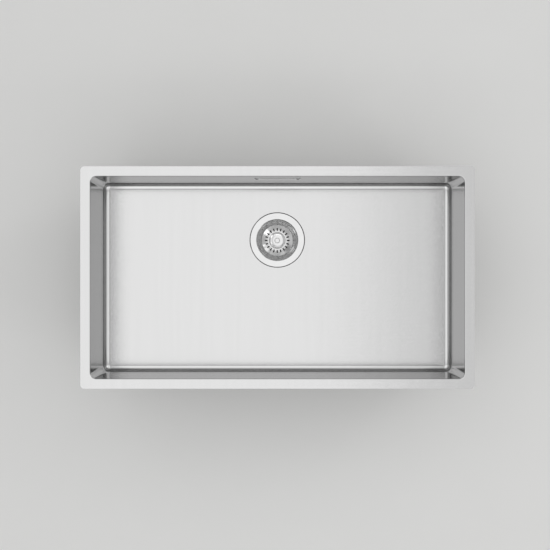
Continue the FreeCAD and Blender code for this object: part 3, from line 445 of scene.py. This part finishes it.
def turned(section, steps=144):
    """Surface of revolution about the drain's axis: a section (radius, height) carried round it."""
    angle = np.linspace(0, 2 * np.pi, steps, endpoint=False)
    across = section[:, 0, None, None] * np.stack([np.cos(angle), np.sin(angle)], -1) + drain
    return np.dstack([across, np.broadcast_to(floor_level + section[:, 1, None], across.shape[:2])])


def ringed(block, middle, count, start=0.0):
    """Copies of a block set at a radius and turned round the drain's axis, evenly."""
    angle = start + np.arange(count) * 2 * np.pi / count
    out = np.stack([np.cos(angle), np.sin(angle)], -1)[:, None, None]
    side = np.stack([-np.sin(angle), np.cos(angle)], -1)[:, None, None]
    plan = drain + (block[..., :1] + middle) * out + block[..., 1:2] * side
    level = np.broadcast_to(floor_level + block[..., 2:], plan.shape[:3] + (1,))
    return np.concatenate([plan, level], -1)


def polished_steel():
    """Bright turned steel: faint rings about the drain's axis, and soft smears."""
    material, tree, shader = finish("polished_steel", {"Metallic": 1.0})
    place = coordinates(tree, "Object", (1, 1, 1), (-drain[0], -drain[1], 0))
    up = Value.node(tree, "SeparateXYZ", inputs={0: place}, output=2)
    flat = Value.node(tree, "VectorMath", {"operation": "MULTIPLY"}, {0: place, 1: (1, 1, 0)})
    reach = Value.node(tree, "VectorMath", {"operation": "LENGTH"}, {0: flat}, 1)
    turning = Value.node(tree, "TexNoise", {"noise_dimensions": "1D"},
                         {"W": reach * ring_cells + up * ring_cells, "Scale": 1.0, "Detail": 2.0})
    smear = noise(tree, coordinates(tree, "Object", smear_cells), 3.0)
    feed(shader, "Base Color", tinted(tree, smear, shade(bright_grey, 0.94), shade(bright_grey, 1.05)))
    feed(shader, "Roughness", turning * 0.08 + smear * 0.08 + 0.10)
    feed(shader, "Normal", bumped(tree, turning, 0.08, 0.03 * mm))
    return material


bright_steel = polished_steel()
cup_section = folded([
    (flange_radius, flange_top, flange_edge), (cup_radius, flange_top, cup_mouth_bend),
    (cup_radius, seat_top, seat_foot_bend), (seat_inside, seat_top, seat_edge_bend),
    (cup_foot, cup_bottom, cup_foot_bend), (screw_hole, cup_bottom, 0),
], sheet)
cup = surface("strainer_cup_steel", turned(cup_section))
fit(cup, bright_steel, "sink", "strainer_cup")
cup_slot = prism(cup_slot_half, cup_slot_corner, cup_slot_low, cup_slot_high)
cut(cup, ringed(cup_slot, cup_slot_middle, cup_slots), punched_shade)

# Gaskets: soft black rubber rings above and below the bowl's sheet at the drain.
# The cup's clamp screw squeezes both.
gasket_black, gasket_pebble = (0.03, 0.03, 0.03, 1), 0.7 * mm
seal_rubber = pebbled_rubber("gasket_rubber", gasket_black, gasket_pebble)
dress(["flange_gasket", "body_gasket"], seal_rubber)

# Waste body and nut carrier: moulded plastic. The body collects the water under the cup, and the
# carrier sits under its throat and holds the clamp nut.
waste_white, waste_gloss = (0.78, 0.78, 0.76, 1), 0.38
nut_grey, nut_gloss = (0.10, 0.10, 0.105, 1), 0.42
grain_cells, flow_cells = (1600, 1600, 1600), (22, 22, 60)


def moulded_plastic(name, colour, gloss):
    """Moulded plastic: a fine spark-eroded grain, a little flow marking and handling dust."""
    material, tree, shader = finish(name, {"Specular IOR Level": 0.45})
    grain = noise(tree, coordinates(tree, "Object", grain_cells))
    flow = noise(tree, coordinates(tree, "Object", flow_cells), 3.0, 0.6)
    feed(shader, "Base Color", tinted(tree, flow, shade(colour, 0.93), shade(colour, 1.05)))
    feed(shader, "Roughness", flow * 0.12 + grain * 0.08 + gloss)
    feed(shader, "Normal", bumped(tree, grain, 0.12, 0.1 * mm))
    return material


white_plastic = moulded_plastic("waste_plastic", waste_white, waste_gloss)
grey_plastic = moulded_plastic("nut_plastic", nut_grey, nut_gloss)
dress(["waste_body"], white_plastic)
dress(["nut_carrier"], grey_plastic)

# Outlet tail: the waste body's threaded outlet, a moulded tube with a pipe thread of eleven turns to
# the inch that a trap's nut screws on.
tail_bore, tail_radius = 20 * mm, 23.9 * mm
tail_top, tail_end = -74 * mm, -100 * mm
thread_pitch, thread_depth = 2.309 * mm, 1.1 * mm
thread_sharpness, lead_in_share = 0.96, 0.25


def threaded_tube(steps=96, turn_rows=10, bore_rows=6):
    """Tube about the drain's axis whose outside is a screw thread: its radius falls and rises in a
    rounded triangle wave, the arcsine of a sine, of the height in turns less the angle. The thread
    runs out to plain over two turns at the top and one at the end, where the tube also narrows."""
    angle = np.linspace(0, 2 * np.pi, steps, endpoint=False)
    rows = int((tail_top - tail_end) / thread_pitch * turn_rows)
    level = np.linspace(tail_top, tail_end, rows)[:, None]
    from_top, from_end = (tail_top - level) / thread_pitch, (level - tail_end) / thread_pitch
    swing = thread_sharpness * np.sin(2 * np.pi * level / thread_pitch - angle)
    wave = np.arcsin(swing) / np.arcsin(thread_sharpness)
    runout = np.clip(from_top / 2 - 1.2, 0, 1) * np.clip(from_end - 0.3, 0, 1)
    lead_in = lead_in_share * np.clip(1 - from_end, 0, 1)
    outside = tail_radius - thread_depth * ((0.5 - 0.5 * wave) * runout + lead_in)
    reach = np.concatenate([outside, np.full((bore_rows, steps), tail_bore)])
    bore_level = np.linspace(tail_end, tail_top, bore_rows)[:, None]
    heights = np.concatenate([level, bore_level]) * np.ones(steps)
    across = reach[..., None] * np.stack([np.cos(angle), np.sin(angle)], -1) + drain
    return np.dstack([across, floor_level + heights])


fit(surface("outlet_thread", threaded_tube()), white_plastic, "sink", "outlet_tail")

# Clamp screw and nut: a hollow steel screw through the cup's bottom and a turned brass nut, which
# draw the cup and the waste body together. The screw's bore guides the basket's stem.
brass_dark, brass_pale = (0.62, 0.44, 0.17, 1), (0.82, 0.64, 0.32, 1)
tool_cells, tarnish_cells = (60, 60, 2500), (160, 160, 160)


def turned_brass():
    """Turned brass: fine tool rings round the drain's axis and a light tarnish."""
    material, tree, shader = finish("turned_brass", {"Metallic": 1.0})
    tool = noise(tree, coordinates(tree, "Object", tool_cells))
    tarnish = noise(tree, coordinates(tree, "Object", tarnish_cells), 4.0, 0.6)
    feed(shader, "Base Color", tinted(tree, tarnish, brass_dark, brass_pale))
    feed(shader, "Roughness", tool * 0.12 + tarnish * 0.14 + 0.18)
    feed(shader, "Normal", bumped(tree, tool, 0.15, 0.03 * mm))
    return material


dress(["clamp_screw"], bright_steel)
dress(["clamp_nut"], turned_brass())

# Basket: drawn from thin polished steel, with a sloping lip that sits on the cup's ledge, round holes
# in its side, slots round its sloping bottom and a raised ridge round a dished middle. It lifts out.
basket_sheet, basket_steps = 0.8 * mm, 160
lip_outside, lip_top, lip_edge = 42.5 * mm, -6.52 * mm, 0.25 * mm
lip_inside, lip_low, lip_bend = 39.7 * mm, -8.6 * mm, 1.6 * mm
basket_foot, basket_heel, basket_heel_bend = 34.8 * mm, -34.7 * mm, 4 * mm
slope_end, basket_bottom, slope_end_bend = 22.8 * mm, -40.5 * mm, 1.6 * mm
ridge_foot, ridge_foot_bend = 21.6 * mm, 0.3 * mm
ridge_radius, ridge_top = 20.8 * mm, -36 * mm
ridge_inside, ridge_inside_bend = 18.6 * mm, 1.2 * mm
dish_radius, dish_top, dish_bend = 12.5 * mm, -39.7 * mm, 16 * mm
neck_hole = 2.6 * mm
basket_slots, basket_slot_middle = 20, 24.2 * mm
basket_slot_half, basket_slot_corner = np.array([2.8, 1.4]) * mm, 1.3 * mm
basket_slot_low, basket_slot_high = -44.5 * mm, -37.5 * mm
side_holes, side_hole_level = 20, -13.5 * mm
side_hole_radius, side_hole_corner = 1.5 * mm, 1.485 * mm
side_hole_from, side_hole_to = 32 * mm, 44 * mm
first_hole = np.pi / 2
basket_section = folded([
    (lip_outside, lip_top, lip_edge), (lip_inside, lip_low, lip_bend),
    (basket_foot, basket_heel, basket_heel_bend), (slope_end, basket_bottom, slope_end_bend),
    (ridge_foot, basket_bottom, ridge_foot_bend), (ridge_radius, ridge_top, basket_sheet),
    (ridge_inside, ridge_top, ridge_inside_bend), (dish_radius, dish_top, dish_bend),
    (neck_hole, dish_top, 0),
], basket_sheet, np.radians(6))
basket = surface("basket_steel", turned(basket_section, basket_steps))
fit(basket, bright_steel, "basket", "basket")
basket_slot = prism(basket_slot_half, basket_slot_corner, basket_slot_low, basket_slot_high)
cut(basket, ringed(basket_slot, basket_slot_middle, basket_slots, first_hole), punched_shade)
peg = prism(np.full(2, side_hole_radius), side_hole_corner, side_hole_from, side_hole_to)
peg = np.stack([peg[..., 2], peg[..., 0], peg[..., 1] + side_hole_level], -1)
cut(basket, ringed(peg, 0, side_holes, first_hole), punched_shade)

# Knob, stem, washer and detent ring: turned steel. The stem goes through the basket and the rubber
# seal into the knob, and a sprung ring in its foot holds the basket up or down in the clamp screw.
knob_steps = 64
knob_radius, knob_top, knob_top_bend = 6 * mm, -30.7 * mm, 2.4 * mm
knob_neck, knob_neck_bend = -35.2 * mm, 1.35 * mm
knob_waist, knob_waist_bend = 4.2 * mm, 0.9 * mm
knob_socket = -32.85 * mm
knob_section = filleted([
    (0, knob_top, 0), (knob_radius, knob_top, knob_top_bend), (knob_radius, knob_neck, knob_neck_bend),
    (knob_waist, knob_neck, knob_waist_bend), (knob_waist, dish_top, 0), (neck_hole, dish_top, 0),
    (neck_hole, knob_socket, 0), (0, knob_socket, 0),
], hold=0.1 * mm)
knob = surface("knob_steel", turned(knob_section, knob_steps), loop=False)
fit(knob, bright_steel, "basket", "basket_knob")
dress(["basket_stem", "seal_washer", "detent_ring"], bright_steel)

# Basket seal: a moulded rubber disc under the basket's slots, with a lip that plugs the cup when the
# basket is pushed down. The washer clamps it to the basket.
dress(["basket_seal"], seal_rubber)

# Overflow cover and screws: a thin polished plate with dull sheared edges over the slot in the rear
# wall, held by two small domed screws of dull steel with a cross recess.
cover_half, cover_corner = np.array([47.5, 10]) * mm, 6 * mm
cover_front, cover_back = 199 * mm, 200 * mm
cover_edge, cover_flat = 0.3 * mm, 2 * mm
edge_facing = 0.7
screw_across = 41.5 * mm
screw_head, screw_rise, dome_fall = 3.5 * mm, 1.8 * mm, 0.62
screw_shank, screw_length = 2 * mm, 14 * mm
cross_long, cross_wide, cross_taper = 1.9 * mm, 0.42 * mm, 0.7
cross_floor, cross_top = 0.3 * screw_rise, 1.4 * screw_rise
tumble_cells = (1800, 1800, 1800)
dull_dark, dull_pale = (0.36, 0.36, 0.36, 1), (0.50, 0.50, 0.50, 1)


def slotted_plate():
    """Plate with its own z to the rear: a section (inset, depth) with rounded edges goes down the outer
    outline's face, over the front, and back into the slot's outline."""
    edge = filleted([(0, cover_back, 0), (0, cover_front, cover_edge), (cover_flat, cover_front, 0)],
                    np.radians(22), 0.1 * mm)[:-1]
    columns = round_columns(cover_half, cover_corner, np.zeros(2), np.radians(10))
    half = np.concatenate([cover_half - edge[:, :1], overflow_half + edge[::-1, :1]])
    corner = np.r_[cover_corner - edge[:, 0], overflow_corner + edge[::-1, 0]]
    plan = round_rectangle(columns, half, corner)
    depth = np.r_[edge[:, 1], edge[::-1, 1]]
    return np.dstack([plan, np.broadcast_to(depth[:, None], plan.shape[:2])])


def domed_screw(steps=40):
    """Screw standing on z = 0: a head whose height falls with the square of the radius, and a shank."""
    out = np.linspace(0, 1, 9)
    dome = np.stack([screw_head * out, screw_rise * (1 - dome_fall * out ** 2)], -1)
    shank = [(screw_head, 0), (screw_shank, 0), (screw_shank, -screw_length), (0, -screw_length)]
    section = np.concatenate([dome, shank])
    angle = np.linspace(0, 2 * np.pi, steps, endpoint=False)
    across = section[:, 0, None, None] * np.stack([np.cos(angle), np.sin(angle)], -1)
    return np.dstack([across, np.broadcast_to(section[:, 1, None], across.shape[:2])])


def cross_recess():
    """A cross-shaped block that narrows downwards into a screw's head from above it: one arm's three
    corners, turned by quarters."""
    arm = np.array([(cross_long, -cross_wide), (cross_long, cross_wide), (cross_wide, cross_wide)])
    turns = np.array([[(1, 0), (0, 1)], [(0, 1), (-1, 0)], [(-1, 0), (0, -1)], [(0, -1), (1, 0)]])
    cross = (arm @ turns).reshape(-1, 2)
    size = np.array([0, cross_taper, 1, 0])[:, None, None]
    level = np.array([cross_floor, cross_floor, cross_top, cross_top])[:, None, None]
    return np.dstack([size * cross, np.broadcast_to(level, (4, len(cross), 1))])


def beside_slot(grid):
    """The two places of a screw: its own z points into the bowl, and its head stands on the cover."""
    facing = faced_rear(grid * [1, 1, -1] + [0, 0, cover_front])
    return np.stack([facing - [screw_across, 0, 0], facing + [screw_across, 0, 0]])


def dull_steel():
    """Tumbled steel: an even, rough grey with a fine grain."""
    material, tree, shader = finish("dull_steel", {"Metallic": 1.0})
    grain = noise(tree, coordinates(tree, "Object", tumble_cells))
    feed(shader, "Base Color", tinted(tree, grain, dull_dark, dull_pale))
    feed(shader, "Roughness", grain * 0.15 + 0.42)
    return material


dull = dull_steel()
cover = surface("overflow_plate", faced_rear(slotted_plate()))
fit(cover, bright_steel, "sink", "overflow_cover")
cover.data.materials.append(dull)
facing = np.empty(3 * len(cover.data.polygons))
cover.data.polygons.foreach_get("normal", facing)
edge_faces = np.abs(facing[1::3]) < edge_facing
cover.data.polygons.foreach_set("material_index", edge_faces.astype(np.int32))
screws = surface("overflow_screw_heads", beside_slot(domed_screw()), loop=False)
fit(screws, dull, "sink", "overflow_screws")
cut(screws, beside_slot(cross_recess()), punched_shade)

# Overflow gasket and housing: a rubber gasket and a slim moulded box behind the wall, which the two
# screws pull against the steel.
dress(["overflow_gasket"], seal_rubber)
dress(["overflow_housing"], white_plastic)

# Overflow pipe: a rigid plastic pipe, bent once, that leads the overflow's water to the waste body.
# Its ends are pushed into the housing's and the body's spigots.
pipe_outside, pipe_inside = 9 * mm, 7.5 * mm
pipe_back, pipe_top = 214.7 * mm, -87 * mm
pipe_front, pipe_low = 136.5 * mm, -242 * mm
pipe_bend = 34 * mm


def bent_pipe(steps=48, stations=19):
    """A circle carried down a straight run, round a quarter bend and along a second run: its centre
    and its outward direction in the bend's plane are worked out for each station. The outside goes
    down the path and the inside comes back up it."""
    turn = np.linspace(0, np.pi / 2, stations)
    centre = np.array([pipe_back - pipe_bend, pipe_low + pipe_bend])
    bend = centre + pipe_bend * np.stack([np.cos(turn), -np.sin(turn)], -1)
    path = np.concatenate([[(pipe_back, pipe_top), (pipe_back, centre[1] + mm)], bend,
                           [(centre[0] - mm, pipe_low), (pipe_front, pipe_low)]])
    tilt = np.r_[0, 0, turn, np.pi / 2, np.pi / 2]
    outward = np.stack([np.cos(tilt), -np.sin(tilt)], -1)
    path, outward = np.concatenate([path, path[::-1]]), np.concatenate([outward, outward[::-1]])
    reach = np.repeat([pipe_outside, pipe_inside], len(tilt))[:, None]
    angle = np.linspace(0, 2 * np.pi, steps, endpoint=False)
    plane = path[:, None] + (reach * np.sin(angle))[..., None] * outward[:, None]
    return np.dstack([reach * np.cos(angle), plane])


fit(surface("overflow_bend", bent_pipe()), white_plastic, "sink", "overflow_pipe")

# Union nuts and pipe seals: ribbed plastic nuts that squeeze a rubber ring on each end of the pipe.
# They screw on the spigots of the housing and the waste body.
dress(["upper_union_nut", "lower_union_nut"], grey_plastic)
dress(["upper_pipe_seal", "lower_pipe_seal"], seal_rubber)

# Floor and light: a plain pale floor, an even sky, large soft lamps above the bowl, brighter to its
# left, and low soft lamps round it that draw bright lines along its bends and glints in the basket.
floor_half, floor_low = 6.0, -300.2 * mm
floor_pale, mottle_cells = (0.80, 0.80, 0.79, 1), (4, 4, 4)
sky_level = 0.50
lamps = [  # name, size, place, turn in degrees, radiance
    ("softbox", (2.4, 4.4), (-0.70, 0.0, 2.7), (0, 0, 0), 0.655),
    ("right_fill", (1.2, 4.4), (1.10, 0.0, 2.7), (0, 0, 0), 0.325),
    ("right_strip", (0.9, 2.4), (2.0, 0.0, 2.3), (0, 42, 0), 0.64),
    ("right_front", (1.3, 0.9), (2.2, -1.5, 1.8), (0, 55, -35), 1.45),
    ("right_rear", (1.3, 0.9), (2.25, 1.4, 1.8), (0, 55, 30), 1.45),
    ("left_strip", (0.6, 2.0), (-2.4, 0.0, 1.75), (0, -50, 0), 0.20),
    ("front_strip", (3.0, 0.7), (0.0, -1.95, 2.55), (37, 0, 0), 0.80),
    ("rear_strip", (3.0, 1.0), (0.0, 2.4, 2.2), (-45, 0, 0), 0.23),
]


def matt_floor():
    """Smooth pale floor with a very faint mottling."""
    material, tree, shader = finish("pale_floor", {"Specular IOR Level": 0.2})
    mottle = noise(tree, coordinates(tree, "Object", mottle_cells), 4.0, 0.6)
    feed(shader, "Base Color", tinted(tree, mottle, shade(floor_pale, 0.98), shade(floor_pale, 1.02)))
    feed(shader, "Roughness", mottle * 0.1 + 0.7)
    return material


floor_corners = np.array([(-1, -1, 0), (1, -1, 0), (1, 1, 0), (-1, 1, 0)]) * floor_half
floor_corners[:, 2] = floor_low
floor_mesh = bpy.data.meshes.new("floor")
floor_mesh.from_pydata(floor_corners, [], [(0, 1, 2, 3)])
floor_mesh.materials.append(matt_floor())
floor = bpy.data.objects.new("floor", floor_mesh)
bpy.context.scene.collection.objects.link(floor)

world = bpy.data.worlds.new("studio")
world.use_nodes = True
world.node_tree.nodes["Background"].inputs["Color"].default_value = (1, 1, 1, 1)
world.node_tree.nodes["Background"].inputs["Strength"].default_value = sky_level
bpy.context.scene.world = world
for name, size, place, turn, level in lamps:
    light = bpy.data.lights.new(name, "AREA")
    light.shape = "RECTANGLE"
    light.size, light.size_y = size
    light.energy = np.pi * size[0] * size[1] * level
    lamp = bpy.data.objects.new(name, light)
    lamp.location = place
    lamp.rotation_euler = np.radians(turn)
    lamp.visible_camera = False
    bpy.context.scene.collection.objects.link(lamp)

# Camera: straight above the bowl, a little left of and behind its middle, as the photograph was taken.
# The width of the view is at the rim's level.
camera_place = np.array([-4.9, 4.9, 2357]) * mm
view_width = 1086.6 * mm
lens = bpy.data.cameras.new("camera")
lens.lens = lens.sensor_width * camera_place[2] / view_width
lens.clip_end = 50
camera = bpy.data.objects.new("camera", lens)
camera.location = camera_place
bpy.context.scene.collection.objects.link(camera)
bpy.context.scene.camera = camera
bpy.context.scene.view_settings.view_transform = "Standard"
